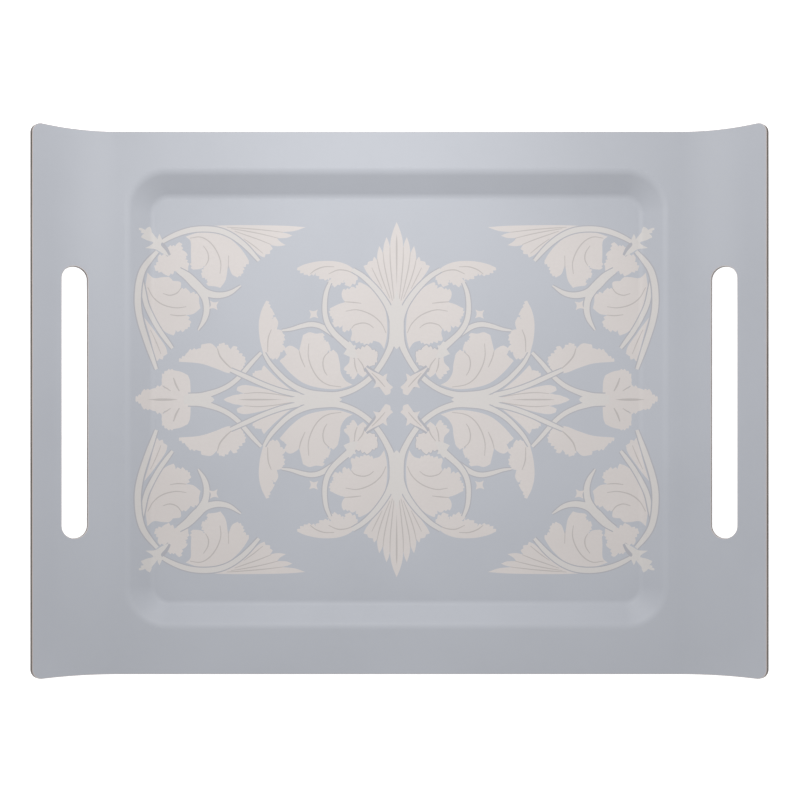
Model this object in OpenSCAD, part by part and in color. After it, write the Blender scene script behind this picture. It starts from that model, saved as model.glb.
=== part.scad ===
// Serving tray press-moulded from a laminate of birch veneers between two
// melamine sheets. A shallow rectangular well is pressed into a flat deck, and
// the two short ends are bent up, each with a long slot to carry the tray by.
// Millimetres. Z up, X along the tray from handle to handle, Y across it.
// Origin: centre of the bounding box in X and Y, on the underside of the well.

/* [Blank] */
// Width across the tray, along the handle slots
tray_w = 378; // [345:1:420]
// Length of the flat deck between the two bend lines
deck_len = 391; // [387:1:440]
// Radius of the outer corners, in the plane of the raised lip
corner_r = 7; // [3:0.5:9.5]

/* [Laminate] */
// Thickness of the printed melamine sheet on top
decor_t = 0.3; // [0.2:0.05:0.5]
// Thickness of each of the five birch veneers
ply_t = 0.6; // [0.4:0.05:0.8]
// Thickness of the plain melamine sheet underneath
backing_t = 0.3; // [0.2:0.05:0.5]

/* [Well] */
// Length of the well where its upper rim meets the deck
well_len = 380; // [340:2:382]
// Width of the well where its upper rim meets the deck
well_w = 322; // [280:2:330]
// How far the pressing sits towards -X from the middle of the blank
well_shift_x = 2; // [0:0.5:3]
// How far the pressing sits towards +Y from the middle of the blank
well_shift_y = 3; // [0:0.5:5]
// Length of the wall's straight slope, which sets how deep the well is
slope_len = 13; // [6:0.5:17]
// Corner radius of the well's upper rim, seen from above
rim_corner_r = 30; // [27:0.5:50]
// Radius of the upper edge where the deck rolls over into the wall
rim_fillet_r = 9; // [7:0.5:10]
// Radius at the foot of the wall
foot_fillet_r = 7; // [4:0.5:8]

/* [Raised ends] */
// Inside radius of the bend, on the upper surface
bend_r = 65; // [55:1:90]
// How steeply each end turns up: 37, 41 or 49 degrees
bend = "standard"; // [shallow, standard, steep]
// Straight lip beyond the bend
lip_len = 13; // [10:0.5:24]

/* [Handle slots] */
// Length of each slot
slot_len = 188; // [90:1:240]
// Width of each slot
slot_w = 17.6; // [10:0.2:20]
// Where the slot's middle lies, as an angle round the bend
slot_angle = 26.3; // [22:0.1:28]

/* [Hidden] */
$fn = 96;

// Height of each glue line above the underside of the laminate
level_0 = 0;
level_1 = backing_t;
level_2 = level_1 + ply_t;
level_3 = level_2 + ply_t;
level_4 = level_3 + ply_t;
level_5 = level_4 + ply_t;
level_6 = level_5 + ply_t;
sheet_t = level_6 + decor_t;

// Angle that each end turns up through
bend_angle = bend == "shallow" ? atan2(3, 4)
           : bend == "steep" ? 12 * atan2(1, 2) - 270
           : 360 - 12 * atan2(1, 2);

// The well's wall climbs 3 in every 4 of its run, between the two fillets
wall_angle = atan2(3, 4);
fillets_r = rim_fillet_r + foot_fillet_r;
well_depth = 0.2 * fillets_r + 0.6 * slope_len;
wall_run = 0.6 * fillets_r + 0.8 * slope_len;
floor_len = well_len - 2 * wall_run;
floor_w = well_w - 2 * wall_run;
floor_corner_r = rim_corner_r - wall_run;

// Band between two radii, from straight down round to straight down turned by an angle
module band(r_in, r_out, angle) {
    big = 2 * r_out;
    intersection() {
        difference() {
            circle(r = r_out);
            circle(r = r_in);
        }
        translate([0, -big]) square(big);
        rotate(angle) translate([-big, -big]) square(big);
    }
}

// Disc cut off at Y = 0, keeping the part above it
module half_disc(r) {
    intersection() {
        circle(r = r);
        translate([-2 * r, 0]) square([4 * r, 2 * r]);
    }
}

// Quarter disc in the first quadrant
module quarter_disc(r) {
    intersection() {
        circle(r = r);
        square(2 * r);
    }
}

// Rectangle with round corners, centred, built from strips and quarter discs
module round_rect(len, wid, r) {
    square([len, wid - 2 * r], center = true);
    for (s = [-1, 1])
        translate([0, s * (wid - r) / 2]) square([len - 2 * r, r], center = true);
    for (s = [0, 1]) rotate(180 * s) {
        translate([len / 2 - r, wid / 2 - r]) quarter_disc(r);
        translate([r - len / 2, wid / 2 - r]) rotate(90) quarter_disc(r);
    }
}

// Places its children on the raised end at an angle round the bend: X up the
// slope, Y across, Z out of the upper surface, underside of the laminate at Z = 0
module on_bend(angle) {
    translate([deck_len / 2, 0, well_depth + sheet_t + bend_r])
        rotate([0, -angle, 0])
            translate([0, 0, -(bend_r + sheet_t)])
                children();
}

// Corner of the blank outside its rounding, as a cutter square to the lip
module corner_cut() {
    on_bend(bend_angle)
        translate([lip_len - corner_r, tray_w / 2 - corner_r, -5])
            linear_extrude(sheet_t + 10)
                difference() {
                    square(corner_r + 5);
                    translate([0.01, 0.01]) circle(r = corner_r);
                }
}

// Handle slot with full-radius ends, cut square to the laminate at its middle
module slot_cut() {
    on_bend(slot_angle)
        translate([0, 0, -6])
            linear_extrude(sheet_t + 12) {
                square([slot_w, slot_len - slot_w], center = true);
                for (s = [0, 1])
                    rotate(180 * s)
                        translate([0, (slot_len - slot_w) / 2]) half_disc(slot_w / 2);
            }
}

// One raised end of a layer between heights a and b: the bend, then the lip
module raised_end(a, b) {
    difference() {
        translate([deck_len / 2, tray_w / 2, well_depth + sheet_t + bend_r])
            rotate([90, 0, 0])
                linear_extrude(tray_w) {
                    band(bend_r + sheet_t - b, bend_r + sheet_t - a, bend_angle);
                    rotate(bend_angle)
                        translate([0, a - bend_r - sheet_t]) square([lip_len, b - a]);
                }
        slot_cut();
        corner_cut();
        mirror([0, 1, 0]) corner_cut();
    }
}

// Cross-section of the well's wall between heights a and b. X runs outwards
// from the foot of the wall, Y is height above the underside of the floor
module wall_section(a, b) {
    translate([0, sheet_t + foot_fillet_r]) {
        band(foot_fillet_r + sheet_t - b, foot_fillet_r + sheet_t - a, wall_angle);
        rotate(wall_angle)
            translate([0, a - foot_fillet_r - sheet_t]) square([slope_len, b - a]);
    }
    translate([wall_run, well_depth + sheet_t - rim_fillet_r])
        rotate(180)
            band(rim_fillet_r - sheet_t + a, rim_fillet_r - sheet_t + b, wall_angle);
}

// A straight run of wall along Y, climbing towards +X
module wall(a, b, length) {
    translate([0, length / 2, 0])
        rotate([90, 0, 0])
            linear_extrude(length) wall_section(a, b);
}

// A quarter turn of wall, its foot's corner centred on the Z axis
module wall_corner(a, b) {
    rotate_extrude(angle = 90)
        translate([floor_corner_r, 0]) wall_section(a, b);
}

// The pressed well of a layer: floor, four straight walls, four corners
module well(a, b) {
    translate([0, 0, a]) linear_extrude(b - a) round_rect(floor_len, floor_w, floor_corner_r);
    for (s = [0, 1])
        rotate([0, 0, 180 * s]) {
            translate([floor_len / 2, 0, 0]) wall(a, b, floor_w - 2 * floor_corner_r);
            translate([0, floor_w / 2, 0])
                rotate([0, 0, 90]) wall(a, b, floor_len - 2 * floor_corner_r);
            translate([floor_len / 2 - floor_corner_r, floor_w / 2 - floor_corner_r, 0])
                wall_corner(a, b);
            translate([floor_corner_r - floor_len / 2, floor_w / 2 - floor_corner_r, 0])
                rotate([0, 0, 90]) wall_corner(a, b);
        }
}

// The flat deck of a layer, with the well's opening through it
module deck(a, b) {
    translate([0, 0, well_depth + a])
        linear_extrude(b - a)
            difference() {
                square([deck_len, tray_w], center = true);
                translate([-well_shift_x, well_shift_y])
                    round_rect(well_len, well_w, rim_corner_r);
            }
}

// One whole layer of the laminate between heights a and b
module layer(a, b) {
    deck(a, b);
    translate([-well_shift_x, well_shift_y, 0]) well(a, b);
    raised_end(a, b);
    rotate([0, 0, 180]) raised_end(a, b);
}

module decor_sheet() {
    color([0.74, 0.76, 0.79]) layer(level_6, sheet_t);
}

module face_veneer() {
    color([0.55, 0.44, 0.33]) layer(level_5, level_6);
}

module upper_cross_veneer() {
    color([0.42, 0.33, 0.25]) layer(level_4, level_5);
}

module core_veneer() {
    color([0.57, 0.46, 0.35]) layer(level_3, level_4);
}

module lower_cross_veneer() {
    color([0.42, 0.33, 0.25]) layer(level_2, level_3);
}

module back_veneer() {
    color([0.55, 0.44, 0.33]) layer(level_1, level_2);
}

module backing_sheet() {
    color([0.72, 0.74, 0.77]) layer(level_0, level_1);
}

decor_sheet();
face_veneer();
upper_cross_veneer();
core_veneer();
lower_cross_veneer();
back_veneer();
backing_sheet();
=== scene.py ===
import math
import bpy
import numpy as np
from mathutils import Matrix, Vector
from mathutils.geometry import delaunay_2d_cdt


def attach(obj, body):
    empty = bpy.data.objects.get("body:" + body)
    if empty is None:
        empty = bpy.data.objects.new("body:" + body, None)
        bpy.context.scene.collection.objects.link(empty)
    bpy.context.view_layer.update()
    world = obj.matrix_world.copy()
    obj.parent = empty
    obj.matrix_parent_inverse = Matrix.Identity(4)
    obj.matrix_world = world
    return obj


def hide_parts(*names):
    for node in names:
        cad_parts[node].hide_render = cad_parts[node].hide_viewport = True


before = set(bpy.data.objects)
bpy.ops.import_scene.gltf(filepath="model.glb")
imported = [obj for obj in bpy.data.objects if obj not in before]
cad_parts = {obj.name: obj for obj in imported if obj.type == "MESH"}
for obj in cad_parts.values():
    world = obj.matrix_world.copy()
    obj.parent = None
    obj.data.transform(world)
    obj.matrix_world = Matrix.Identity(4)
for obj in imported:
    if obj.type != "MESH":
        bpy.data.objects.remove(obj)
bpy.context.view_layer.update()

# ---------------------------------------------------------------------------
# A press-moulded laminated tray.  Everything is in millimetres until the mesh
# is written, in metres.  All layers share one flat development of the blank:
#   s  runs along the length (arc length on the top face over the bends)
#   y  runs across the width
#   d  is the depth below the top face, 0 to 3.6
# ---------------------------------------------------------------------------
S0 = 195.5                 # start of the bend
RHO = 65.0                 # bend radius of the top face
BEND = math.atan2(0.658944, 0.752192)
S1 = S0 + RHO * BEND       # end of the bend
LIP = 13.0
SL = S1 + LIP              # developed half length
HY = 189.0                 # half width
RC = 7.0                   # outer corner radius
Z_DECK = 14.6
THICK = 3.6
BX, BY, RR = 190.0, 161.0, 30.0     # well rim, half sizes and corner radius
CX, CY = -2.0, 3.0                  # centre of the well
R_RIM, R_FOOT = 9.0, 7.0
WALL = math.atan2(3, 4)
RUN = 20.0
DROP = 11.0
SLOT_PHI = math.radians(26.3)
SLOT_A = 8.8                        # half width of a slot
SLOT_H = 94.0                       # half length of a slot
EASE_T, EASE_B = 0.45, 0.35         # eased cut edges, top and bottom



# ------------------------------------------------------------ outlines in 2D
def catmull(pts, step=1.3):
    """Smooth open curve through pts."""
    p = np.array(pts, float)
    ext = np.vstack([2 * p[0] - p[1], p, 2 * p[-1] - p[-2]])
    out = []
    for i in range(1, len(ext) - 2):
        a, b, c, d = ext[i - 1], ext[i], ext[i + 1], ext[i + 2]
        n = max(2, int(math.ceil(np.linalg.norm((c - b)[:2]) / step)))
        for k in range(n):
            t = k / n
            out.append(0.5 * ((2 * b) + (c - a) * t + (2 * a - 5 * b + 4 * c - d) * t * t
                              + (3 * b - a - 3 * c + d) * t ** 3))
    out.append(p[-1])
    return np.array(out)


def bulged(a, b, k, tooth=2.9):
    """A leaf margin from a to b: a shallow curve that swells to the right-hand side by k of its
    length, cut into small pointed, forward-leaning teeth where it is long."""
    a, b = np.array(a, float), np.array(b, float)
    d = b - a
    ln = np.linalg.norm(d)
    nrm = np.array([d[1], -d[0]])
    m = max(1, int(round(ln / tooth))) if tooth else 1
    n = max(3, int(math.ceil(ln / m / 0.9)))
    steps = [i / n for i in range(n)] if m == 1 else [0, 0.25, 0.5, 0.74]
    out = []
    for j in range(m):
        lift = (0.38, 0.56, 0.46)[(j + m) % 3] / m
        for q in steps:
            t = (j + q) / m
            h = k * 4 * t * (1 - t) * (1 if m == 1 else 0.75)
            if m > 1:
                h += lift * math.sin(0.5 * math.pi * q / 0.74) ** 1.15
            out.append(a + d * t + nrm * h)
    out.append(b)
    return np.array(out)


def area2(p):
    x, y = p[:, 0], p[:, 1]
    return float(np.sum(x * np.roll(y, -1) - y * np.roll(x, -1)))


def outline(pts, swell=0.08, tooth=2.9):
    """Closed outline.  Two-number points are pointed; points with a third entry are smooth."""
    n = len(pts)
    xy = [np.array(p[:2], float) for p in pts]
    if area2(np.array(xy)) < 0:
        pts, xy = pts[::-1], xy[::-1]
    corner = [i for i in range(n) if len(pts[i]) == 2]
    if not corner:
        loop = catmull([xy[-1], *xy, xy[0], xy[1]])
        return loop[:-1]
    out = []
    for j, i in enumerate(corner):
        k = corner[(j + 1) % len(corner)]
        idx = [i]
        m = (i + 1) % n
        while m != k:
            idx.append(m)
            m = (m + 1) % n
        idx.append(k)
        run = [xy[q] for q in idx]
        seg = bulged(run[0], run[1], swell, tooth) if len(run) == 2 else catmull(run)
        out.extend(seg[:-1])
    return np.array(out)


def strip(pts, grow=0.0, round_end=False):
    """Tapered band along a smooth line.  pts are (u, v, width)."""
    c = catmull(pts, 1.6)
    p, w = c[:, :2], np.maximum(c[:, 2], 0.3) + 2 * grow
    t = np.gradient(p, axis=0)
    t /= np.linalg.norm(t, axis=1)[:, None] + 1e-12
    nrm = np.stack([-t[:, 1], t[:, 0]], 1)
    left, right = p + nrm * (w / 2)[:, None], p - nrm * (w / 2)[:, None]
    loop = list(right)
    if round_end:
        for k in (1, 2, 3):
            a = math.pi * k / 4
            loop.append(p[-1] + w[-1] / 2 * (-nrm[-1] * math.cos(a) + t[-1] * math.sin(a)))
    loop += list(left[::-1])
    if round_end:
        for k in (1, 2, 3):
            a = math.pi * k / 4
            loop.append(p[0] + w[0] / 2 * (nrm[0] * math.cos(a) - t[0] * math.sin(a)))
    loop = np.array(loop)
    return loop if area2(loop) > 0 else loop[::-1]


def star(u, v, r, turn=0.0):
    pts = []
    for k in range(4):
        a = turn + k * math.pi / 2
        pts.append((u + r * math.cos(a), v + r * math.sin(a)))
        b = a + math.pi / 4
        pts.append((u + 0.47 * r * math.cos(b), v + 0.47 * r * math.sin(b), 1))
    return outline(pts)


def clip(poly, axis):
    """Keeps the part of poly with coordinate axis >= 0."""
    out = []
    n = len(poly)
    for i in range(n):
        a, b = poly[i], poly[(i + 1) % n]
        ina, inb = a[axis] >= 0, b[axis] >= 0
        if ina:
            out.append(a)
        if ina != inb:
            t = a[axis] / (a[axis] - b[axis])
            q = a + (b - a) * t
            q[axis] = 0.0
            out.append(q)
    return np.array(out)


# --------------------------------------------------- the ornament, one quarter
# u runs outwards along the length and v along the width, from the well's
# centre, so the same quarter serves all four.
# SHADOW_LINE is painted shade: a band darker than the ground round stems and buds, a shadow line that makes the flat
# print look raised
GROUND, LEAF, STEM, VEIN, SHADOW_LINE = 0, 1, 2, 3, 6
shapes = []
nudge = [0.0, 0.0]


def put(kind, poly):
    poly = np.array(poly, float)
    poly[:, 1] *= 0.99
    poly += nudge
    for ax in (0, 1):
        if len(poly) and poly[:, ax].min() < 0:
            poly = clip(poly, ax)
    if len(poly) < 3:
        return
    keep = [poly[0]]
    for q in poly[1:]:
        if np.linalg.norm(q - keep[-1]) > 0.05:
            keep.append(q)
    if np.linalg.norm(keep[0] - keep[-1]) < 0.05:
        keep.pop()
    poly = np.array(keep)
    if len(poly) < 3 or abs(area2(poly)) < 0.05:
        return
    if area2(poly) < 0:
        poly = poly[::-1]
    shapes.append((kind, poly))


def vein(*pts, w=0.85):
    n = len(pts)
    put(VEIN, strip([(p[0], p[1], w * (0.35 + 0.65 * math.sin(math.pi * (0.12 + 0.76 * i / max(1, n - 1)))))
                     for i, p in enumerate(pts)]))


# leaves -------------------------------------------------------------------
# curled leaf that ends the main stem
put(LEAF, outline([(70, 94), (63, 89), (57, 90.5), (51.5, 86), (46, 86.5), (48.5, 82), (41.5, 82), (37, 85.5),
                   (34.5, 81), (28.5, 85), (27.5, 89.5), (33, 95, 1), (42, 98.3, 1), (54, 98.6, 1), (64, 96.6, 1)]))
vein((61, 89.5), (57, 92.5), (51, 94.6), (44, 94.6))
vein((48, 89.5), (41.5, 92.3), (35, 91.8), (29.5, 89.5))
# large leaf inside the upper ring
put(LEAF, outline([(46, 65.5), (41, 68, 1), (36, 69.5), (38.5, 73), (38.5, 77), (33.5, 78.5), (31.5, 80.5), (28.5, 79),
                   (25.5, 83.5), (20, 80.5, 1), (14.5, 75, 1), (10.2, 69, 1), (7.6, 62, 1), (6.6, 53, 1), (7, 44, 1),
                   (8.8, 36), (12, 40.5, 1), (16.5, 42), (21, 40), (26, 41.5), (32.5, 43.5), (31.5, 47.5, 1),
                   (32.5, 51), (38, 48.8), (38, 53), (44.5, 53), (43.8, 57.5), (46.8, 61)]))
vein((37, 69.7), (31, 69.3), (25, 68.6))
vein((36, 63), (28.5, 64), (21, 62), (15, 58.5), (10.3, 53.5), (7.5, 47.5))
vein((32, 50.5), (29.5, 53.2), (24, 54.6), (19.5, 53.6), (16.2, 51))
# large leaf inside the lower ring
put(LEAF, outline([(66, 46), (61.5, 48, 1), (57, 47, 1), (52.5, 47.5), (52, 42), (48, 40), (47, 37.5), (49, 33.5),
                   (43.5, 34.5), (41.3, 31.5), (40, 25, 1), (39.3, 19, 1), (36, 13.5, 1), (31, 10.5), (42, 7.5, 1),
                   (55, 8.5, 1), (66, 12, 1), (75, 19, 1), (82.5, 27.5), (79.5, 30), (77.5, 32), (79, 36),
                   (75.5, 38.5), (71.5, 37), (68.8, 34.5), (67.5, 40, 1)]))
vein((62, 40), (62.3, 31), (59.8, 22.5), (55, 15), (48.5, 10.6), (39, 9))
vein((47.5, 34), (51, 30.5), (52, 25.5), (51, 20.5), (49, 17.2))
vein((68.8, 35), (67.4, 29.5), (64.6, 23))
# upright leaf
put(LEAF, outline([(92, 70.5), (95.5, 63, 1), (97.2, 54, 1), (96.5, 43, 1), (94, 32.5), (88.5, 29.5), (83, 30.5),
                   (82, 34), (78.5, 37), (81, 39.5), (79.5, 44.5), (82, 49.5), (84.5, 50), (83.5, 55, 1), (85.5, 59),
                   (88.2, 57.5), (87, 62.5), (89.5, 66)]))
vein((88.4, 50), (90.6, 43.5), (91, 34))
# reclining leaf
put(LEAF, outline([(153.5, 27), (149.5, 30.8), (147, 34), (141.5, 35.6), (138, 36.6), (137.5, 39.3), (131, 40, 1),
                   (126.5, 36.2), (124, 39.8), (118.5, 37.4), (117, 35.6), (115, 38.3), (111.5, 33), (107, 28.6),
                   (108.3, 24), (111, 19.5), (119, 19, 1), (128, 22.4, 1), (139, 25.8, 1)]))
vein((126.4, 36.4), (124.6, 31), (120.6, 26), (116, 21.8), w=1.1)
# small leaf between the rings and the reclining leaf
put(LEAF, outline([(93.5, 24.5), (95.3, 20.8), (98.6, 20.4), (101.5, 17), (97, 14.6, 1), (90, 11.4, 1), (80, 6.8, 1),
                   (70, 3.5), (78, 9.6, 1), (85, 15.6, 1), (90, 20.6, 1)]))
# fan on the long axis
put(LEAF, outline([(122, 0), (117.5, 2.2), (111.5, 3.6), (106.5, 4.4), (112.8, 6.6), (112, 9.2), (107, 10.4, 1), (98, 8.9, 1),
                   (85, 5.6, 1), (70, 3.4), (60, 3), (60, 0)], 0.06, 0))
vein((107.5, 4.3), (98, 5.0), (87, 4.1), (74, 1.9), w=0.75)
put(VEIN, outline([(112, 0), (105, 0.5, 1), (92, 0.5, 1), (80, 0)], 0, 0))
# end flower on the long axis
put(LEAF, outline([(182.5, 0), (179.2, 3), (178.4, 5.6), (174, 6.8), (170, 8.2), (164.5, 9.4), (161.5, 8),
                   (165.5, 12), (165.3, 16), (162, 20.4), (157.5, 21), (152, 19.8, 1), (147.2, 17.4), (145.6, 12.5, 1),
                   (145.2, 0)]))
put(VEIN, outline([(175, 0), (168, 0.8, 1), (160, 0.7, 1), (154, 0)]))
vein((157.4, 15.5), (155.6, 10.5), (153.2, 6), w=1.3)
vein((165, 9.6), (162.4, 8.2), (159.4, 6.2))
# fan on the cross axis
put(LEAF, outline([(0, 126.5), (2.4, 120.6, 1), (4.2, 113.6, 1), (4.6, 107.4), (7.2, 115.8), (9, 110, 1), (9.7, 103.6),
                   (12.3, 109.4), (13.5, 104.6, 1), (13.9, 99.2), (15.9, 101.8), (16.8, 98.8), (20.1, 98.1), (20.7, 96),
                   (23.4, 95.2), (21.3, 91, 1), (16.6, 84.4, 1), (10.4, 74.6, 1), (5.4, 63), (0, 60)], 0.05, 0))
vein((4.7, 108.5), (4.5, 98), (3.3, 85), (1.6, 69), w=0.75)
vein((9.7, 105), (8.6, 95.5), (6.2, 84), (3.0, 70.5), w=0.75)
vein((13.9, 100.4), (12.2, 92.5), (9.0, 82.6), (4.7, 72), w=0.75)
vein((17.6, 94), (14.2, 87), (10.2, 79), w=0.7)
put(VEIN, outline([(0, 118), (0.55, 111, 1), (0.5, 97, 1), (0, 80)], 0, 0))
# corner: leaf under the upper arc
nudge[:] = [-2.2, -0.4]
put(LEAF, outline([(151, 116.5), (147.5, 113, 1), (147.3, 104, 1), (147, 98), (145.5, 93), (140.5, 93.5, 1),
                   (137, 95.5), (139.5, 88.5), (135, 86.5), (135, 81.5), (130, 81, 1), (126.5, 80), (122.7, 86, 1),
                   (121, 97), (118.5, 90, 1), (115.5, 88), (111.5, 90), (110.5, 95), (106.5, 99.5), (109.5, 104.5, 1),
                   (114, 110, 1), (121, 115.8, 1), (130, 119, 1), (142, 119.3, 1)]))
vein((148, 115.4), (140.5, 116.2), (134, 112.6), (128.8, 105.5), (126.2, 97.5), (126.8, 90))
vein((138.5, 110), (135.4, 105), (135, 99.8), (137, 95.8))
vein((120.7, 103), (120.9, 94))
# corner: leaf beside the outer arc
put(LEAF, outline([(177.5, 90.5), (173.5, 87, 1), (167.5, 87.6, 1), (163, 87.8), (160, 85), (154.5, 84, 1),
                   (154.8, 78.5), (150, 79), (147.5, 76), (141.5, 74.5), (141.5, 70, 1), (140.5, 65.5),
                   (145.5, 61.5, 1), (151, 60.5), (148, 54), (151, 50.8), (158, 50), (159.5, 46), (165, 48.4, 1),
                   (171.5, 54.4, 1), (176.5, 62.5, 1), (179.2, 73, 1)]))
vein((177.3, 80), (173.6, 73), (167, 68), (158, 65.8), (150.5, 66.6))
vein((167, 76), (162, 74.7), (157, 76.4), (154.2, 80))
vein((162, 60.9), (156, 60.2), (150.6, 60.6))
# corner: small lobed leaf
put(LEAF, outline([(155.5, 112.5), (153.7, 107), (150.5, 105), (151.6, 100.5), (149, 95.8), (150, 90, 1),
                   (155, 90.5, 1), (159, 92.2), (164.5, 89), (168, 91.5), (172.5, 93.5), (170.2, 98.5), (170.6, 102),
                   (165, 103), (163, 109), (158.5, 109.5)]))
# corner: long petals that trail along the two sides
put(LEAF, outline([(66.5, 123.2), (80, 124.2, 1), (100, 124.6, 1), (120, 124.6, 1), (140, 123.8), (118, 118.6, 1), (106, 109.6, 1),
                   (99.5, 103.6, 1), (95.5, 101.6), (94.6, 104), (91.4, 104.3), (91.6, 106.4), (89.6, 107.8), (91.5, 110.6),
                   (86, 109.7, 1), (80.3, 110.4), (84.5, 113, 1), (86.5, 115.4), (80, 115.6, 1), (75.8, 117.2), (79, 118.6, 1),
                   (83.5, 119.6), (74, 120.6, 1)], 0.05, 0))
vein((82.5, 119.6), (96, 121.2), (110, 122.4), (122, 123.2), w=0.75)
vein((85.5, 115.3), (97, 118.2), (108, 120.4), (119, 122.2), w=0.75)
vein((90.6, 110.8), (99, 114.2), (108, 117.4), (116.5, 120.4), w=0.75)
vein((96.5, 104.6), (103, 110), (110, 115), w=0.7)
put(LEAF, outline([(171.3, 27.6), (169.6, 29.8), (167.2, 28.9), (166.6, 31.4), (163.8, 33.2), (165.4, 38.5, 1), (171.6, 47.5, 1),
                   (179.5, 58.5), (176, 45, 1), (173.8, 36, 1)], 0.05, 0))
vein((168.4, 33), (171.6, 41), (175.6, 50), w=0.7)
nudge[:] = [0, 0]


# stems: each sits on a slightly wider darker band, a painted shadow line that makes the print look raised ---
# how far the painted shadow line reaches beyond each side of a stem
SHADOW_MARGIN = 0.75


# each stem is laid over a slightly wider band of painted shadow line
def stem(pts, shadow_margin=SHADOW_MARGIN):
    put(SHADOW_LINE, strip(pts, shadow_margin))
    put(STEM, strip(pts))


# main stem, a full sweep from the upright leaf round the ring to the curled leaf
MAIN = [(93.6, 33, 2.0), (89.5, 26, 2.7), (84, 19.5, 3.1), (77.5, 13.2, 3.3), (70, 8.2, 3.6), (61, 4.6, 4.4),
        (51, 2.8, 5.6), (42, 3.4, 4.4), (32, 6.4, 3.6), (24, 11, 3.5), (17, 17, 3.5), (11.6, 24, 3.6),
        (7.2, 31.5, 3.8), (3.9, 39, 4.3), (2.4, 48, 5.2), (2.7, 57, 4.9), (5.9, 66, 4.1), (10.8, 74, 3.8),
        (17, 81.5, 3.6), (24, 88, 3.3), (31, 92.4, 3.0)]
RING = [(47, 83.5, 2.0), (49.5, 77, 2.7), (50.6, 70, 3.1), (50.6, 62, 3.3), (48.8, 54.5, 3.5), (44.6, 47.8, 3.7),
        (39, 42.3, 4.0), (33, 37, 4.6), (28, 31.5, 4.6)]
SECOND = [(81, 49.2, 1.2), (74.5, 50.2, 2.1), (67, 52.4, 2.9), (60.5, 53.6, 3.3), (54.5, 52.6, 3.4), (49, 49.6, 3.5),
          (43.5, 45.6, 3.2)]
THIN = [(95.5, 33.5, 2.0), (102, 26.5, 2.7), (107.5, 20, 3.0), (112.5, 14.6, 3.0), (119, 9.6, 3.2), (126, 6.2, 3.4),
        (133, 3.8, 4.2), (139, 2.2, 4.8), (147, 1.6, 5.4)]
LEAFSTEM = [(117, 21.2, 2.4), (110, 18, 2.9), (103, 14.8, 3.1), (96, 11.6, 3.1), (88, 8.4, 3.1), (80, 5.8, 3.2), (68, 3, 3.2)]
TOPARC = [(169, 112, 2.4), (162, 116, 3.1), (154, 119.4, 3.5), (146, 121.4, 3.7), (137, 122, 3.8), (128, 121, 3.8),
          (120, 118, 3.6), (112.5, 113, 3.4), (106, 107, 3.1), (99.3, 99.3, 2.2)]
SIDEARC = [(171, 106, 2.6), (176, 99.8, 3.2), (180.3, 92, 3.5), (182.5, 83, 3.7), (183.3, 73, 3.8), (183, 64, 3.8),
           (181.3, 54, 3.6), (178.6, 44, 3.4), (175.6, 34, 3.1), (171.6, 22, 2.2)]
SIDEIN = [(181.3, 88, 1.6), (180, 78, 2.5), (178.2, 68, 2.9), (174.6, 59, 3.1), (169.6, 50, 3.1), (164.4, 42.6, 2.9),
          (160.2, 37, 2.0)]
Y_A = [(156, 92.5, 4.0), (149.5, 88, 5.6), (143.5, 82, 6.2), (138.5, 77.6, 5.2), (133, 75.4, 4.5), (126.5, 74.8, 3.9),
       (119.5, 76.6, 2.9), (112, 81.6, 0.8)]
Y_B = [(146, 84, 4.6), (140.5, 78.4, 5.4), (137, 71.5, 4.4), (136.2, 64, 4.0), (138, 57, 3.1), (142.2, 49.8, 0.8)]

stem(THIN)
stem(SECOND)
stem(RING)
stem(LEAFSTEM)
stem(MAIN)
# trunks where the mirrored stems run together on the two axes
put(STEM, outline([(0, 78), (1.8, 72, 1), (4.2, 66, 1), (5, 58), (5, 48), (4, 42, 1), (1.6, 37.6, 1), (0, 36)], 0, 0))
put(STEM, outline([(80, 0), (74, 1.6, 1), (66, 3.4, 1), (57, 5), (47, 4.6), (42, 2.6, 1), (38.5, 0)], 0, 0))
put(STEM, outline([(150, 0), (150, 3.2), (146, 3.1, 1), (139, 3.4), (131, 2.2, 1), (128.5, 0)], 0, 0))
nudge[:] = [-2.2, -0.4]
stem(SIDEIN)
stem(SIDEARC)
stem(TOPARC)
# painted shadow lines round the two forked stems
put(SHADOW_LINE, strip(Y_A, SHADOW_MARGIN))
put(SHADOW_LINE, strip(Y_B, SHADOW_MARGIN))
put(STEM, strip(Y_B))
put(STEM, strip(Y_A))
nudge[:] = [0, 0]

# buds ---------------------------------------------------------------------
FLOWER_R = outline([(31.5, 34.5), (25.5, 35.6), (19.5, 38), (17.3, 35.3), (13.5, 33), (14, 29), (17, 24.4),
                    (22, 23, 1), (27, 27)])
FLOWER_C = outline([(30, 31), (21.5, 25, 1), (21, 19, 1), (23.6, 15.8), (27, 18.5, 1), (30, 24, 1)])
FLOWER_L = outline([(33, 32), (33.6, 26.5, 1), (36.8, 23), (32.8, 18), (30, 14.6), (27.5, 19, 1), (28, 26, 1)])
CALYX = outline([(37.5, 32.5), (35, 36.5, 1), (33.5, 41.5, 1), (30.5, 38.5), (28.6, 38.6), (29.5, 35, 1), (27.5, 30.5, 1),
                 (31.5, 30, 1)])
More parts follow.
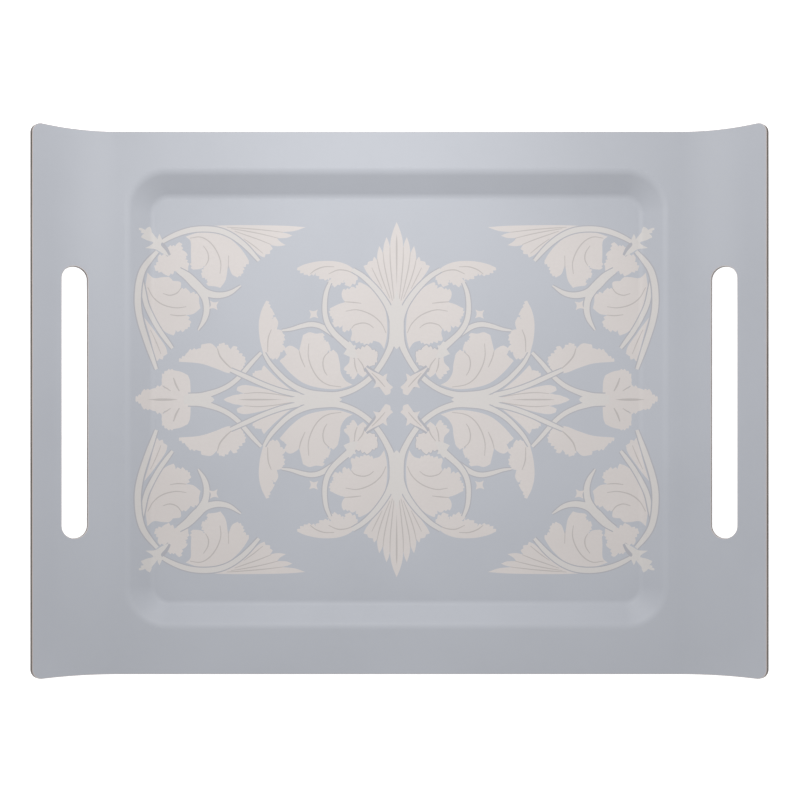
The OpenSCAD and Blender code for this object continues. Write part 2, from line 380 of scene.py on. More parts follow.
# each bud petal gets a painted shadow line round its outline
for poly in (FLOWER_R, FLOWER_C, FLOWER_L):
    put(SHADOW_LINE, strip([(*q, 0.9) for q in np.vstack([poly, poly[:1]])]))
    put(LEAF, poly)
vein((27.5, 29.5), (24, 24.6), (22.4, 19.6), w=0.9)
vein((29.8, 30), (29.3, 24), (27.8, 19.4), w=0.9)
put(STEM, CALYX)
CENTRE_BUD = outline([(22.5, 23.8), (17, 20.4, 1), (12, 18, 1), (9.6, 16.6), (6.5, 18.6), (7.3, 14.4, 1), (5.5, 11.5, 1),
                      (2.6, 9), (4.4, 7.2), (4.6, 4.4), (8, 3.2), (10.3, 6.4, 1), (12.4, 9, 1), (16.6, 8.2),
                      (14.8, 11.6, 1), (15.4, 14.4, 1), (19.5, 19.4, 1)])
# painted shadow line round the centre bud
put(SHADOW_LINE, strip([(22, 23, 2.6), (17, 18.4, 4.4), (12.5, 14.2, 6.4), (9, 10.6, 7)], SHADOW_MARGIN))
put(LEAF, CENTRE_BUD)
vein((17.5, 19), (12.5, 14), (8.2, 9))
CORNER_BUD = outline([(182.4, 121.6), (178.9, 120.6), (176, 123.4), (174.8, 119.6), (172.4, 116.6, 1), (170.8, 114.6),
                      (169.4, 118.4), (167.4, 113.4, 1), (168.4, 110.6, 1), (165, 106.4, 1), (162.6, 102.4),
                      (168, 105, 1), (172.6, 107.6, 1), (178.8, 107.8), (174.6, 111, 1), (174, 112.6, 1), (177.6, 113.4, 1),
                      (181.4, 115), (179.4, 118)])
nudge[:] = [-2.2, -0.4]
# painted shadow line round the corner bud and its stalk
put(SHADOW_LINE, strip([(174.5, 109.5, 3), (169.5, 110.2, 4), (166, 107.6, 3.6), (162.6, 103, 1.2)], SHADOW_MARGIN))
put(STEM, CORNER_BUD)
# stars
put(LEAF, star(60.7, 61.3, 4.4, math.radians(42)))
put(LEAF, star(131.2, 67.6, 4.4, math.radians(52)))
nudge[:] = [0, 0]


# ------------------------------------------------------------ triangulations
def triangulate(verts, edges, faces):
    vs = [Vector((float(x), float(y))) for x, y in verts]
    v, e, f, ov, oe, of_ = delaunay_2d_cdt(vs, edges, faces, 0, 1e-5, True)
    pts = np.array([(q[0], q[1]) for q in v], float)
    tris = np.array([list(t) for t in f], int)
    a, b, c = pts[tris[:, 0]], pts[tris[:, 1]], pts[tris[:, 2]]
    ar = (b[:, 0] - a[:, 0]) * (c[:, 1] - a[:, 1]) - (b[:, 1] - a[:, 1]) * (c[:, 0] - a[:, 0])
    flip = ar < 0
    tris[flip] = tris[flip][:, ::-1]
    return pts, tris, of_, ov


def quarter_ring(t):
    """Rounded-rectangle contour t inside the rim, one quarter, from the long axis to the cross axis."""
    r = RR - t
    out = [(BX - t, y) for y in np.linspace(0, BY - RR, 19)[:-1]]
    out += [(BX - RR + r * math.cos(a), BY - RR + r * math.sin(a)) for a in np.linspace(0, math.pi / 2, 25)]
    out += [(x, BY - t) for x in np.linspace(BX - RR, 0, 23)[1:]]
    out[0] = (BX - t, 0.0)
    out[-1] = (0.0, BY - t)
    return out


T_RINGS = [R_RIM * math.sin(a) for a in np.linspace(0, WALL, 7)]
T_RINGS += [5.4 + 10.4 * k for k in (0.2, 0.4, 0.6, 0.8)]
T_RINGS += [RUN - R_FOOT * math.sin(a) for a in np.linspace(WALL, 0, 7)]
T_RINGS += [21.6]


def well_quarter(ornament):
    verts, edges, faces = [], [], []
    for t in T_RINGS:
        ring = quarter_ring(t)
        k = len(verts)
        verts += ring
        edges += [(k + i, k + i + 1) for i in range(len(ring) - 1)]
    nx, ny = 22, 19
    for i in range(nx):
        for j in range(ny):
            x, y = (BX - 25) * i / (nx - 1), (BY - 25) * j / (ny - 1)
            q = (max(x - (BX - RR), 0), max(y - (BY - RR), 0))
            if math.hypot(*q) > 3:
                continue
            verts.append((x, y))
    kinds = []
    if ornament:
        for kind, poly in shapes:
            k = len(verts)
            verts += [tuple(q) for q in poly]
            faces.append(list(range(k, k + len(poly))))
            kinds.append(kind)
    pts, tris, orig, _ = triangulate(verts, edges, faces)
    mat = np.zeros(len(tris), int)
    if ornament:
        for i, o in enumerate(orig):
            if o:
                mat[i] = kinds[max(o)]
    return pts, tris, mat


def full_well(ornament):
    """Four mirrored quarters welded along the axes, in coordinates from the well's centre."""
    pts, tris, mat = well_quarter(ornament)
    index, P, T, M = {}, [], [], []
    for sx, sy in ((1, 1), (-1, 1), (-1, -1), (1, -1)):
        ids = []
        for x, y in pts:
            key = (int(round(x * 1e6)) * sx, int(round(y * 1e6)) * sy)
            if key not in index:
                index[key] = len(P)
                P.append((x * sx, y * sy))
            ids.append(index[key])
        ids = np.array(ids)
        t = ids[tris]
        if sx * sy < 0:
            t = t[:, ::-1]
        T.append(t)
        M.append(mat)
    T, M = np.vstack(T), np.concatenate(M)
    ok = (T[:, 0] != T[:, 1]) & (T[:, 1] != T[:, 2]) & (T[:, 0] != T[:, 2])
    return np.array(P), T[ok], M[ok]


def full_ring(t):
    q = quarter_ring(t)
    loop = q[:-1] + [(-x, y) for x, y in q[::-1]][:-1] + [(-x, -y) for x, y in q][:-1] + [(x, -y) for x, y in q[::-1]][:-1]
    return loop


def slot_s(u):
    """Developed position, from the slot's middle, of the plane offset u."""
    return RHO * math.asin(u / RHO)


SLOT_S = S0 + RHO * SLOT_PHI


def slot_loop(grow, side):
    """Slot outline on the development: list of (s, y) and of the outward directions in (u, y)."""
    a = SLOT_A + grow
    h = SLOT_H - SLOT_A
    pts, nrm = [], []
    ys = np.linspace(-h, h, 30)
    for y in ys:
        pts.append((a, y)); nrm.append((1, 0))
    for k in np.linspace(0, math.pi, 25)[1:-1]:
        pts.append((a * math.cos(k), h + a * math.sin(k))); nrm.append((math.cos(k), math.sin(k)))
    for y in ys[::-1]:
        pts.append((-a, y)); nrm.append((-1, 0))
    for k in np.linspace(math.pi, 2 * math.pi, 25)[1:-1]:
        pts.append((a * math.cos(k), -h + a * math.sin(k))); nrm.append((math.cos(k), math.sin(k)))
    out = [(side * (SLOT_S + slot_s(u)), y) for u, y in pts]
    return out, [(side * nu, ny) for nu, ny in nrm]


S_ROWS = sorted(set([round(x, 4) for x in np.linspace(S0, S1, 25)] + [round(x, 4) for x in np.linspace(S1, SL, 7)]))
S_FLAT = [round(x, 4) for x in np.linspace(0, S0, 26)[:-1]]
Y_ROWS = [float(x) for x in np.linspace(-HY, HY, 55)]


def outer_loop(inset):
    """Outer outline of the development and its outward directions, anticlockwise from the right-hand side."""
    r = RC - inset
    xs = [x for x in [-v for v in S_ROWS[::-1]] + [-v for v in S_FLAT[:0:-1]] + S_FLAT + S_ROWS if abs(x) < SL - RC + 0.01]
    ys = [y for y in Y_ROWS if abs(y) < HY - RC + 0.01]
    ys = [-(HY - RC)] + ys + [HY - RC]
    xs = [-(SL - RC)] + xs + [SL - RC]
    pts, nrm = [], []

    def add(x, y, nx, ny):
        if pts and math.hypot(pts[-1][0] - x, pts[-1][1] - y) < 0.02:
            return
        pts.append((x, y)); nrm.append((nx, ny))

    def corner(cx, cy, a0):
        for a in np.linspace(a0, a0 + math.pi / 2, 13):
            add(cx + r * math.cos(a), cy + r * math.sin(a), math.cos(a), math.sin(a))

    for y in ys:
        add(SL - inset, y, 1, 0)
    corner(SL - RC, HY - RC, 0)
    for x in xs[::-1]:
        add(x, HY - inset, 0, 1)
    corner(-(SL - RC), HY - RC, math.pi / 2)
    for y in ys[::-1]:
        add(-(SL - inset), y, -1, 0)
    corner(-(SL - RC), -(HY - RC), math.pi)
    for x in xs:
        add(x, -(HY - inset), 0, -1)
    corner(SL - RC, -(HY - RC), 1.5 * math.pi)
    if math.hypot(pts[0][0] - pts[-1][0], pts[0][1] - pts[-1][1]) < 0.02:
        pts.pop(); nrm.pop()
    return pts, nrm


def rr_sdf(x, y, hx, hy, r):
    qx, qy = np.abs(x) - (hx - r), np.abs(y) - (hy - r)
    return np.hypot(np.maximum(qx, 0), np.maximum(qy, 0)) + np.minimum(np.maximum(qx, qy), 0) - r


def slot_sdf(s, y):
    """Distance outside the slot outline, in the plane of the slot's mouth."""
    u = RHO * np.sin(np.clip((np.abs(s) - SLOT_S) / RHO, -1.2, 1.2))
    yy = np.maximum(np.abs(y) - (SLOT_H - SLOT_A), 0)
    return np.hypot(u, yy) - SLOT_A


def deck_mesh():
    """The deck and the raised ends, with holes for the well and the slots.  Coordinates from the tray's centre."""
    verts, edges, faces, info = [], [], [], {}

    def loop(pts, nrm=None, face=False, tag=None):
        k, n = len(verts), len(pts)
        verts.extend(pts)
        edges.extend([(k + i, k + (i + 1) % n) for i in range(n)])
        if face:
            p = np.array(pts)
            ids = list(range(k, k + n))
            faces.append(ids if area2(p) > 0 else ids[::-1])
        if nrm:
            for i in range(n):
                info[k + i] = (tag, *nrm[i])

    pts, nrm = outer_loop(0)
    loop(pts, nrm, tag=1)
    loop(outer_loop(1.2)[0])
    loop(full_ring(0), face=True)
    loop(full_ring(-1.6))
    for side in (1, -1):
        pts, nrm = slot_loop(0, side)
        if area2(np.array(pts)) < 0:
            pts, nrm = pts[::-1], nrm[::-1]
        loop([(s - CX, y - CY) for s, y in pts], nrm, face=True, tag=2)
        pts, _ = slot_loop(1.3, side)
        loop([(s - CX, y - CY) for s, y in pts])
    # the outer loops were given from the tray's centre, the rim from the well's
    n_out = len(outer_loop(0)[0]) + len(outer_loop(1.2)[0])
    for i in range(n_out):
        verts[i] = (verts[i][0] - CX, verts[i][1] - CY)
    grid = []
    for s in [-v for v in S_ROWS[::-1]] + S_ROWS:
        for y in Y_ROWS[1:-1]:
            grid.append((s, y))
    for s in [-v for v in S_FLAT[:0:-1]] + S_FLAT:
        for y in Y_ROWS[1:-1]:
            grid.append((s, y))
    g = np.array(grid)
    keep = rr_sdf(g[:, 0], g[:, 1], SL, HY, RC) < -2.4
    keep &= rr_sdf(g[:, 0] - CX, g[:, 1] - CY, BX, BY, RR) > 3.0
    keep &= slot_sdf(g[:, 0], g[:, 1]) > 2.4
    verts.extend([(x - CX, y - CY) for x, y in g[keep]])
    pts, tris, orig, ov = triangulate(verts, edges, faces)
    tris = tris[[not o for o in orig]]
    tag = np.zeros(len(pts), int)
    nin = np.zeros((len(pts), 2))
    for i, o in enumerate(ov):
        for q in o:
            if q in info:
                tag[i] = info[q][0]
                nin[i] = info[q][1:]
    used = np.unique(tris)
    remap = -np.ones(len(pts), int)
    remap[used] = np.arange(len(used))
    return pts[used], remap[tris], tag[used], nin[used]


def join_well(deck, well):
    """One sheet: the deck's points first, then the well's, welded along the rim."""
    dp, dt, tag, nin = deck
    wp, wt, wm = well
    index = {(int(round(x * 1000)), int(round(y * 1000))): i for i, (x, y) in enumerate(dp)}
    on_rim = np.abs(rr_sdf(wp[:, 0], wp[:, 1], BX, BY, RR)) < 0.03
    ids, extra = np.zeros(len(wp), int), []
    for i, (x, y) in enumerate(wp):
        key = (int(round(x * 1000)), int(round(y * 1000)))
        if on_rim[i] and key in index:
            ids[i] = index[key]
        else:
            ids[i] = len(dp) + len(extra)
            extra.append((x, y))
    P = np.vstack([dp, np.array(extra)])
    T = np.vstack([dt, ids[wt]])
    M = np.concatenate([np.zeros(len(dt), int), wm])
    tg = np.concatenate([tag, np.zeros(len(extra), int)])
    nn = np.vstack([nin, np.zeros((len(extra), 2))])
    s, y = P[:, 0] + CX, P[:, 1] + CY
    return s, y, T, M, tg, nn


# ------------------------------------------------- from the development to 3D
def place(s, y, d):
    """Points and upper normals of the development at depth d below the top face."""
    s, y = np.asarray(s, float), np.asarray(y, float)
    d = np.broadcast_to(np.asarray(d, float), s.shape)
    sg = np.where(s >= 0, 1.0, -1.0)
    a = np.abs(s)
    phi0 = np.clip((a - S0) / RHO, 0, BEND)
    # slot walls stand square to the sheet at the slot's middle, so points close to them lean with depth
    u = np.clip(RHO * np.sin(np.clip((a - SLOT_S) / RHO, -1.2, 1.2)), -SLOT_A - 0.7, SLOT_A + 0.7)
    w = np.clip(1 - np.maximum(slot_sdf(s, y) - 0.7, 0) / 5.5, 0, 1)
    w = w * w * (3 - 2 * w)
    phi = phi0 + w * (np.arcsin(u / (RHO + d)) - np.arcsin(u / RHO))
    phi = np.where((a > S0) & (a < S1), phi, phi0)
    t = np.maximum(a - S1, 0)
    flat = np.minimum(a, S0)
    x = sg * (flat + (RHO + d) * np.sin(phi) + t * math.cos(BEND))
    z = Z_DECK + RHO - (RHO + d) * np.cos(phi) + t * math.sin(BEND)
    n = np.stack([-sg * np.sin(phi), np.zeros_like(x), np.cos(phi)], 1)
    p = np.stack([x, y, z], 1)
    # the well
    qx, qy = np.abs(s - CX) - (BX - RR), np.abs(y - CY) - (BY - RR)
    t = -rr_sdf(s - CX, y - CY, BX, BY, RR)
    inside = t > 0
    gx, gy = np.maximum(qx, 0), np.maximum(qy, 0)
    ln = np.hypot(gx, gy)
    far = ln < 1e-9
    gx, gy = np.where(far, 0, gx / np.where(far, 1, ln)), np.where(far, 0, gy / np.where(far, 1, ln))
    gx, gy = gx * np.sign(s - CX), gy * np.sign(y - CY)
    t1, t2 = R_RIM * math.sin(WALL), RUN - R_FOOT * math.sin(WALL)
    drop1 = R_RIM - np.sqrt(np.maximum(R_RIM ** 2 - np.minimum(t, t1) ** 2, 0))
    drop2 = drop1 + (np.minimum(t, t2) - t1) * 0.75
    tt = np.minimum(t, RUN)
    drop3 = DROP - (R_FOOT - np.sqrt(np.maximum(R_FOOT ** 2 - (RUN - tt) ** 2, 0)))
    drop = np.where(t <= t1, drop1, np.where(t <= t2, drop2, drop3))
    sn = np.where(t <= t1, t / R_RIM, np.where(t <= t2, math.sin(WALL), (RUN - tt) / R_FOOT))
    sn = np.clip(sn, 0, 1)
    cs = np.sqrt(1 - sn ** 2)
    wn = np.stack([-gx * sn, -gy * sn, cs], 1)
    wp = np.stack([s, y, Z_DECK - drop], 1) - wn * d[:, None]
    p[inside], n[inside] = wp[inside], wn[inside]
    return p, n


def ease(d):
    """How far the cut edge is eased back at depth d, and the tilt of its normal."""
    if d < EASE_T:
        return EASE_T - math.sqrt(max(EASE_T ** 2 - (EASE_T - d) ** 2, 0)), (EASE_T - d) / EASE_T
    b = THICK - d
    if b < EASE_B:
        return EASE_B - math.sqrt(max(EASE_B ** 2 - (EASE_B - b) ** 2, 0)), -(EASE_B - b) / EASE_B
    return 0.0, 0.0


def edge_points(s, y, tag, nn, d):
    """The cut edge at depth d: points and outward normals."""
    e, tilt = ease(d)
    ss, yy = s.copy(), y.copy()
    outer, slot = tag == 1, tag == 2
    ss[outer] = s[outer] - nn[outer, 0] * e
    yy[outer] = y[outer] - nn[outer, 1] * e
    u = RHO * np.sin((np.abs(s[slot]) - SLOT_S) / RHO) + nn[slot, 0] * np.sign(s[slot]) * e
    ss[slot] = np.sign(s[slot]) * (SLOT_S + RHO * np.arcsin(u / RHO))
    yy[slot] = y[slot] + nn[slot, 1] * e
    p, n = place(ss, yy, d)
    # tangent along the length at this point; the slots' walls all share the one at the slot's middle
    ts = np.stack([n[:, 2], np.zeros(len(n)), -n[:, 0]], 1)
    mid = np.stack([np.full(len(n), math.cos(SLOT_PHI)), np.zeros(len(n)), np.sign(s) * math.sin(SLOT_PHI)], 1)
    ts[slot] = mid[slot]
    out = ts * nn[:, :1] + np.stack([np.zeros(len(n)), nn[:, 1], np.zeros(len(n))], 1)
    out[slot] *= -1
    side = out * math.sqrt(1 - tilt * tilt) + n * tilt
    side /= np.linalg.norm(side, axis=1)[:, None]
    return p, side


deck = deck_mesh()
sheet_plain = join_well(deck, full_well(False))
sheet_print = join_well(deck, full_well(True))


def boundary_edges(T):
    e = np.vstack([T[:, [0, 1]], T[:, [1, 2]], T[:, [2, 0]]])
    n = int(T.max()) + 1
    key = e[:, 0] * n + e[:, 1]
    rev = e[:, 1] * n + e[:, 0]
    return e[~np.isin(key, rev)]


def layer(name, d0, d1, top, mats, edge_slot, bottom_slot, extra_rows=()):
    """A closed sheet between depths d0 and d1 with its own top triangulation."""
    s, y, T, M, tag, nn = top
    bs, by, BT, BM, btag, bnn = sheet_plain
    p0, n0 = place(s, y, d0)
    p1, n1 = place(bs, by, d1)
    edge = tag > 0
    ids = np.where(edge)[0]
    ep, _ = edge_points(s[ids], y[ids], tag[ids], nn[ids], d0)
    p0[ids] = ep
    bids = np.where(btag > 0)[0]
    bp, _ = edge_points(bs[bids], by[bids], btag[bids], bnn[bids], d1)
    p1[bids] = bp
    verts = [p0, p1]
    N0, N1 = len(p0), len(p1)
    be = boundary_edges(T)
    bb = boundary_edges(BT)
    assert set(map(tuple, be)) == set(map(tuple, bb)), name
    depths = sorted(set([d0, d1, *[r for r in extra_rows if d0 < r < d1]]))
    where, row_n = [], []
    base = N0 + N1
    for d in depths:
        q, sn = edge_points(s[ids], y[ids], tag[ids], nn[ids], d)
        table = np.zeros(N0, int)
        if d == d0:
            table[ids] = ids
        elif d == d1:
            table[ids] = N0 + ids
        else:
            table[ids] = base + np.arange(len(ids))
            verts.append(q)
            base += len(ids)
        nt = np.zeros((N0, 3))
        nt[ids] = sn
        where.append(table)
        row_n.append(nt)
    V = np.vstack(verts) / 1000.0
    faces = [T, (BT[:, ::-1] + N0)]
    loops_n = [n0[T].reshape(-1, 3), -n1[BT[:, ::-1]].reshape(-1, 3)]
    mat = [M, np.full(len(BT), bottom_slot)]
    for k in range(len(depths) - 1):
        a, b = be[:, 0], be[:, 1]
        at, bt = where[k][a], where[k][b]
        ab, bbm = where[k + 1][a], where[k + 1][b]
        q1 = np.stack([at, ab, bbm], 1)
        q2 = np.stack([at, bbm, bt], 1)
        faces += [q1, q2]
        na, nb, ma, mb = row_n[k][a], row_n[k][b], row_n[k + 1][a], row_n[k + 1][b]
        loops_n += [np.stack([na, ma, mb], 1).reshape(-1, 3), np.stack([na, mb, nb], 1).reshape(-1, 3)]
        mat += [np.full(len(be), edge_slot)] * 2
    F = np.vstack(faces)
    L = np.vstack(loops_n)
    mat = np.concatenate(mat)
    me = bpy.data.meshes.new(name)
    me.vertices.add(len(V))
    me.vertices.foreach_set("co", V.astype(np.float32).ravel())
    me.loops.add(len(F) * 3)
    me.loops.foreach_set("vertex_index", F.astype(np.int32).ravel())
    me.polygons.add(len(F))
    me.polygons.foreach_set("loop_start", np.arange(0, len(F) * 3, 3, dtype=np.int32))
    for m in mats:
        me.materials.append(m)
    me.polygons.foreach_set("material_index", mat.astype(np.int32))
    me.update(calc_edges=True)
    me.validate()
    me.polygons.foreach_set("use_smooth", np.ones(len(me.polygons), bool))
    if len(me.loops) == len(L):
        me.normals_split_custom_set([tuple(v) for v in L])
    me.update()
    ob = bpy.data.objects.new(name, me)
    bpy.context.scene.collection.objects.link(ob)
    return ob


# ------------------------------------------------------------------ materials
class Nodes:
    def __init__(self, name):
        self.m = bpy.data.materials.new(name)
        self.m.use_nodes = True
        self.t = self.m.node_tree
        self.bsdf = self.t.nodes["Principled BSDF"]
        self.co = self.t.nodes.new("ShaderNodeTexCoord").outputs["Object"]

    def new(self, kind, **kw):
        n = self.t.nodes.new(kind)
        for k, v in kw.items():
            setattr(n, k, v)
        return n

    def link(self, a, b):
        self.t.links.new(a, b)

    def mapped(self, scale, rot=(0, 0, 0), loc=(0, 0, 0)):
        n = self.new("ShaderNodeMapping")
        n.inputs["Scale"].default_value = scale
        n.inputs["Rotation"].default_value = rot
        n.inputs["Location"].default_value = loc
        self.link(self.co, n.inputs["Vector"])
        return n.outputs["Vector"]

    def noise(self, scale, detail=3, rough=0.5, vec=None, distortion=0.0):
        n = self.new("ShaderNodeTexNoise")
        n.inputs["Scale"].default_value = scale
        n.inputs["Detail"].default_value = detail
        n.inputs["Roughness"].default_value = rough
        n.inputs["Distortion"].default_value = distortion
        self.link(vec or self.co, n.inputs["Vector"])
        return n.outputs["Fac"]

    def ramp(self, fac, stops):
        n = self.new("ShaderNodeValToRGB")
        cr = n.color_ramp
        while len(cr.elements) < len(stops):
            cr.elements.new(0.5)
        for e, (pos, col) in zip(cr.elements, stops):
            e.position = pos
            e.color = (*col, 1) if len(col) == 3 else col
        self.link(fac, n.inputs["Fac"])
        return n.outputs["Color"]

    def mix(self, fac, a, b, mode="MIX"):
        n = self.new("ShaderNodeMix", data_type="RGBA", blend_type=mode)
        for sock, val in ((n.inputs[0], fac), (n.inputs[6], a), (n.inputs[7], b)):
            if isinstance(val, (int, float)):
                sock.default_value = val
            elif isinstance(val, tuple):
                sock.default_value = (*val, 1) if len(val) == 3 else val
            else:
                self.link(val, sock)
        return n.outputs[2]

    def maprange(self, fac, a, b, c, d):
        n = self.new("ShaderNodeMapRange")
        self.link(fac, n.inputs["Value"])
        for k, v in zip(("From Min", "From Max", "To Min", "To Max"), (a, b, c, d)):
            n.inputs[k].default_value = v
        return n.outputs["Result"]

    def bump(self, height, strength, distance, under=None):
        n = self.new("ShaderNodeBump")
        n.inputs["Strength"].default_value = strength
        n.inputs["Distance"].default_value = distance
        self.link(height, n.inputs["Height"])
        if under is not None:
            self.link(under, n.inputs["Normal"])
        return n.outputs["Normal"]


def scaled(c, k):
    return tuple(min(1.0, v * k) for v in c)


GREY_BLUE = (0.470, 0.486, 0.527)
CREAM = (0.650, 0.606, 0.586)
STEM_TONE = (0.640, 0.613, 0.594)


def melamine(name, base, rough=0.50, mottle=0.03, pebble=0.0):
    """Satin pressed melamine: faint mottling, fine press texture and faint handling marks."""
    n = Nodes(name)
    broad = n.noise(9, 3, 0.55)
    fine = n.noise(140, 2, 0.5)
    c = n.ramp(broad, [(0.3, scaled(base, 1 - mottle)), (0.7, scaled(base, 1 + mottle))])
    c = n.mix(n.maprange(fine, 0.3, 0.7, 0.0, 0.35), c, scaled(base, 1.015))
    n.link(c, n.bsdf.inputs["Base Color"])
    scuff = n.noise(60, 4, 0.7, n.mapped((1, 14, 1), (0, 0, 0.5)))
    scuff2 = n.noise(70, 4, 0.7, n.mapped((12, 1, 1), (0, 0, -0.3)))
    mixed = n.mix(0.5, scuff, scuff2)
    r = n.maprange(mixed, 0.35, 0.65, rough - 0.025, rough + 0.035)
    n.link(r, n.bsdf.inputs["Roughness"])
    peel = n.noise(1100, 2, 0.5)
    nb = n.bump(peel, 0.12, 0.00006)
    wave = n.noise(26, 2, 0.5)
    nb = n.bump(wave, 0.10, 0.0006, nb)
    if pebble:
        v = n.new("ShaderNodeTexVoronoi", feature="SMOOTH_F1")
        v.inputs["Scale"].default_value = 900
        n.link(n.co, v.inputs["Vector"])
        nb = n.bump(v.outputs["Distance"], pebble, 0.0002, nb)
    n.link(nb, n.bsdf.inputs["Normal"])
    n.bsdf.inputs["IOR"].default_value = 1.5
    return n.m


def printed(name, base, spread=0.03, rough=0.52):
    """Printed pattern under the melamine: a little tone variation, as a halftone gives."""
    n = Nodes(name)
    broad = n.noise(16, 3, 0.55)
    grain = n.noise(520, 3, 0.6)
    c = n.ramp(broad, [(0.3, scaled(base, 1 - spread)), (0.7, scaled(base, 1 + spread))])
    c = n.mix(n.maprange(grain, 0.35, 0.65, 0, 0.5), c, scaled(base, 1 - 1.2 * spread))
    n.link(c, n.bsdf.inputs["Base Color"])
    n.link(n.maprange(n.noise(60, 4, 0.7, n.mapped((1, 12, 1), (0, 0, 0.5))), 0.35, 0.65, rough - 0.02, rough + 0.035),
           n.bsdf.inputs["Roughness"])
    nb = n.bump(n.noise(1100, 2, 0.5), 0.12, 0.00006)
    nb = n.bump(n.noise(26, 2, 0.5), 0.10, 0.0006, nb)
    n.link(nb, n.bsdf.inputs["Normal"])
    return n.m


def veneer(name, light, dark, along_x, rough=0.62):
    """Rotary-cut birch: fine streaks along the grain and small pores."""
    n = Nodes(name)
    long = (2.2, 90, 60) if along_x else (90, 2.2, 60)
    warp = n.noise(6, 3, 0.6, n.mapped((1, 1, 1)))
    streak = n.noise(3.2, 5, 0.62, n.mapped(long), distortion=0.35)
    pore = n.noise(9, 4, 0.7, n.mapped(tuple(v * 5 for v in long)))
    c = n.ramp(streak, [(0.28, dark), (0.5, tuple(0.5 * (a + b) for a, b in zip(light, dark))), (0.72, light)])
    c = n.mix(n.maprange(pore, 0.52, 0.7, 0.0, 0.45), c, scaled(dark, 0.72))
    c = n.mix(n.maprange(warp, 0.3, 0.7, 0.0, 0.25), c, scaled(light, 0.92))
    n.link(c, n.bsdf.inputs["Base Color"])
    n.link(n.maprange(streak, 0.3, 0.7, rough + 0.08, rough - 0.06), n.bsdf.inputs["Roughness"])
    n.link(n.bump(pore, 0.25, 0.00012), n.bsdf.inputs["Normal"])
    return n.m


def cut_edge(name, light, dark, rough=0.42):
    """A sawn, stained and lacquered edge of one veneer."""
    n = Nodes(name)
    streak = n.noise(4.0, 5, 0.65, n.mapped((70, 70, 420)), distortion=0.4)
    patch = n.noise(20, 3, 0.6)
    c = n.ramp(streak, [(0.3, dark), (0.7, light)])
    c = n.mix(n.maprange(patch, 0.35, 0.65, 0.0, 0.35), c, scaled(dark, 0.8))
    n.link(c, n.bsdf.inputs["Base Color"])
    n.link(n.maprange(patch, 0.3, 0.7, rough - 0.06, rough + 0.1), n.bsdf.inputs["Roughness"])
    n.link(n.bump(streak, 0.3, 0.00008), n.bsdf.inputs["Normal"])
    return n.m


m_ground = melamine("decor_ground", GREY_BLUE)
m_leaf = printed("decor_leaf", CREAM)
m_stem = printed("decor_stem", STEM_TONE, 0.02)
m_vein = printed("decor_line", scaled(CREAM, 0.76), 0.03)
# painted shade: a tone darker than the ground, for the shadow line round stems and buds
m_painted_shadow_line = printed("decor_painted_shadow_line", (0.425, 0.424, 0.455), 0.02)
m_decor_edge = melamine("decor_cut", (0.62, 0.57, 0.555), 0.45)
m_back = melamine("backing_melamine", (0.32, 0.33, 0.355), 0.5, 0.025, 0.25)
m_back_edge = melamine("backing_cut", (0.33, 0.31, 0.29), 0.5)
m_long = veneer("birch_long_grain", (0.62, 0.44, 0.27), (0.40, 0.25, 0.13), True)
m_cross = veneer("birch_cross_grain", (0.58, 0.41, 0.25), (0.37, 0.23, 0.12), False)
m_long_edge = cut_edge("edge_long_grain", (0.115, 0.066, 0.036), (0.060, 0.032, 0.018))
m_cross_edge = cut_edge("edge_cross_grain", (0.060, 0.034, 0.020), (0.028, 0.016, 0.010))

# ---------------------------------------------------------------------- parts
LEVELS = [0, 0.3, 0.9, 1.5, 2.1, 2.7, 3.3, 3.6]
ROWS = [0.05, 0.13, 0.22, 0.3, 0.45, 3.25, 3.3, 3.4, 3.5, 3.56]
parts = [
    layer("decor_sheet_visual", 0.0, 0.3, sheet_print, [m_ground, m_leaf, m_stem, m_vein, m_decor_edge, m_long, m_painted_shadow_line], 4, 5, ROWS),
    layer("face_veneer_visual", 0.3, 0.9, sheet_plain, [m_long, m_long_edge], 1, 0, ROWS),
    layer("upper_cross_veneer_visual", 0.9, 1.5, sheet_plain, [m_cross, m_cross_edge], 1, 0),
    layer("core_veneer_visual", 1.5, 2.1, sheet_plain, [m_long, m_long_edge], 1, 0),
    layer("lower_cross_veneer_visual", 2.1, 2.7, sheet_plain, [m_cross, m_cross_edge], 1, 0),
    layer("back_veneer_visual", 2.7, 3.3, sheet_plain, [m_long, m_long_edge], 1, 0, ROWS),
    layer("backing_sheet_visual", 3.3, 3.6, sheet_plain, [m_back, m_back_edge], 1, 0, ROWS),
]
slots = ["printed_melamine", "long_grain_veneer", "cross_grain_veneer", "long_grain_veneer", "cross_grain_veneer",
         "long_grain_veneer", "plain_melamine"]
nodes = ["decor_sheet", "face_veneer", "upper_cross_veneer", "core_veneer", "lower_cross_veneer", "back_veneer",
         "backing_sheet"]
for ob, slot_name, node in zip(parts, slots, nodes):
    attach(ob, "root")
    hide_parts(node)

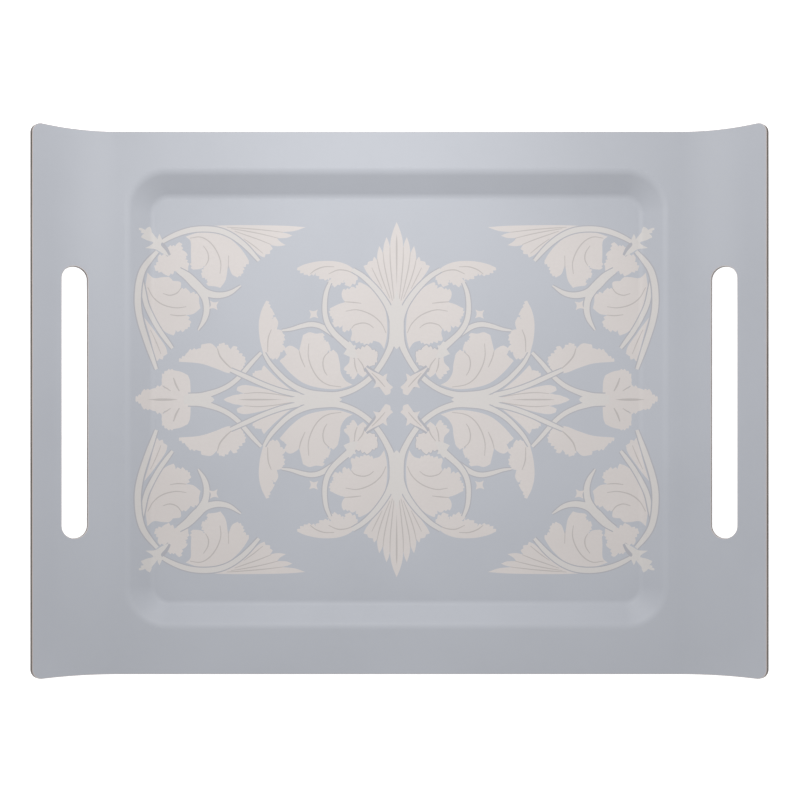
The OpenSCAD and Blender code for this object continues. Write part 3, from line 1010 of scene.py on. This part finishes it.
# --------------------------------------------------------------- stage, light
floor_me = bpy.data.meshes.new("floor")
floor_me.from_pydata([(-16, -16, 0), (16, -16, 0), (16, 16, 0), (-16, 16, 0)], [], [(0, 1, 2, 3)])
floor = bpy.data.objects.new("floor", floor_me)
bpy.context.scene.collection.objects.link(floor)
floor.location.z = -0.0002
fn = Nodes("studio_floor")
fc = fn.ramp(fn.noise(3, 2, 0.5), [(0.3, (0.875, 0.875, 0.875)), (0.7, (0.895, 0.895, 0.895))])
fn.link(fc, fn.bsdf.inputs["Base Color"])
fn.bsdf.inputs["Roughness"].default_value = 0.9
fn.bsdf.inputs["Specular IOR Level"].default_value = 0.1
fn.bsdf.inputs["Emission Color"].default_value = (1, 1, 1, 1)
fn.bsdf.inputs["Emission Strength"].default_value = 0.75
floor_me.materials.append(fn.m)

world = bpy.data.worlds.new("studio")
bpy.context.scene.world = world
world.use_nodes = True
bg = world.node_tree.nodes["Background"]
bg.inputs["Color"].default_value = (0.985, 0.99, 1.0, 1)
bg.inputs["Strength"].default_value = 0.655


def area_light(name, loc, target, size, energy, colour=(1, 1, 1)):
    li = bpy.data.lights.new(name, "AREA")
    li.shape = "RECTANGLE"
    li.size, li.size_y = size
    li.energy = energy
    li.color = colour
    ob = bpy.data.objects.new(name, li)
    ob.location = loc
    ob.rotation_euler = (Vector(target) - Vector(loc)).to_track_quat("-Z", "Y").to_euler()
    bpy.context.scene.collection.objects.link(ob)
    return ob


key = area_light("key", (-0.06, 0.35, 0.43), (0, 0, 0), (0.36, 0.25), 0.545, (1.0, 1.0, 1.0))
key.visible_camera = False
key.data.spread = math.radians(100)

cam_data = bpy.data.cameras.new("camera")
cam = bpy.data.objects.new("camera", cam_data)
bpy.context.scene.collection.objects.link(cam)
cam_data.sensor_width = 36
cam_data.lens = 54.95
SHIFT_Y = 0.10
cam_data.shift_y = SHIFT_Y
cam.location = (0.00035, (2.9 - 800 * SHIFT_Y) / 1.43651 / 1000, 0.8646)
cam.rotation_euler = (0, 0, 0)
cam_data.clip_start, cam_data.clip_end = 0.01, 50
bpy.context.scene.camera = cam
bpy.context.scene.view_settings.view_transform = "Standard"
bpy.context.scene.view_settings.look = "None"
